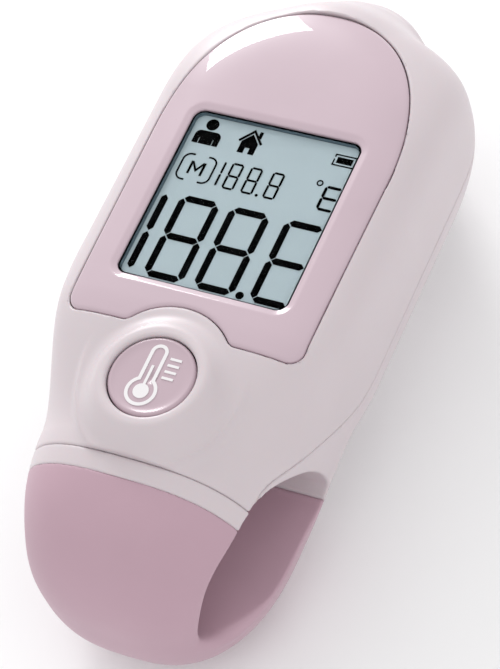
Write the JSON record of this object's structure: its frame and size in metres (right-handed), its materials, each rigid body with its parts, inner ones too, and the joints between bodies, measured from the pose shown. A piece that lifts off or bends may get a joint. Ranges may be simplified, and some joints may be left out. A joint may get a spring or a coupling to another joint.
{
  "type": "digital ear thermometer",
  "caption": "Finger-worn ear thermometer: a display head with a measuring button, a ring for the finger and an infrared probe at the back.",
  "frame": {"origin": "centre of the footprint, on the surface that the object lies on when its display faces up", "axes": "+Z out of the display, +Y from the finger ring towards the probe end, +X to the right when reading the display"},
  "size_m": [0.0452, 0.1044, 0.0394],
  "materials": {
    "shell_pink": "satin pale pink moulded shell",
    "cover_pink": "polished pink display cover and button",
    "grip_pink": "matt dusty pink soft-touch grip",
    "core_plastic": "plain moulded inner parts",
    "window_clear": "clear polished window",
    "lcd_frame": "dark slate frame",
    "lcd_glass": "pale blue grey display glass",
    "lcd_marks": "black display marks",
    "light_panel": "white light panel",
    "icon_white": "off-white printed icon",
    "silicone": "translucent silicone",
    "board_green": "green circuit board",
    "chip_black": "black moulded packages",
    "steel": "bright steel",
    "cell_wrap": "printed battery sleeve",
    "probe_white": "white trim ring",
    "ir_window": "dark infrared filter",
    "wire_red": "insulated wire"
  },
  "bodies": {
    "head": {"front_shell": "shell_pink", "rear_shell": "shell_pink", "ring_core": "core_plastic", "ring_grip": "grip_pink", "display_cover": "cover_pink", "window_pane": "window_clear", "lcd_frame": "lcd_frame", "lcd_glass": "lcd_glass", "lcd_segments": "lcd_marks", "backlight_panel": "light_panel", "contact_strip": "silicone", "main_board": "board_green", "board_chips": "chip_black", "board_screws": "steel", "tact_switch": "steel", "buzzer": "chip_black", "button_web": "silicone", "battery_tray": "core_plastic", "battery_cells": "cell_wrap", "contact_springs": "steel", "contact_plates": "steel", "door_pin": "steel", "probe_cone": "shell_pink", "probe_collar": "probe_white", "sensor_sleeve": "steel", "sensor_can": "steel", "sensor_window": "ir_window", "sensor_wires": "wire_red", "shell_screws": "steel"},
    "button": {"button_cap": "cover_pink", "button_icon": "icon_white"},
    "door": {"battery_door": "shell_pink"},
    "door_screw": {"door_lock": "steel"}
  },
  "joints": [
    {"name": "button_press", "type": "slide", "parent": "head", "child": "button", "axis": [0, 0, -1], "range_m": [0, 0.00045], "stiffness_N_per_m": 900, "springref_m": -0.0006},
    {"name": "door_swing", "type": "hinge", "parent": "head", "child": "door", "pos_m": [0, 0.03387, 0.01495], "axis": [1, 0, 0], "range_deg": [0, 70]},
    {"name": "screw_turn", "type": "hinge", "parent": "door", "child": "door_screw", "pos_m": [0, -0.00973, 0.0133], "axis": [0, 0, -1], "range_deg": [-540, 0]}
  ]
}
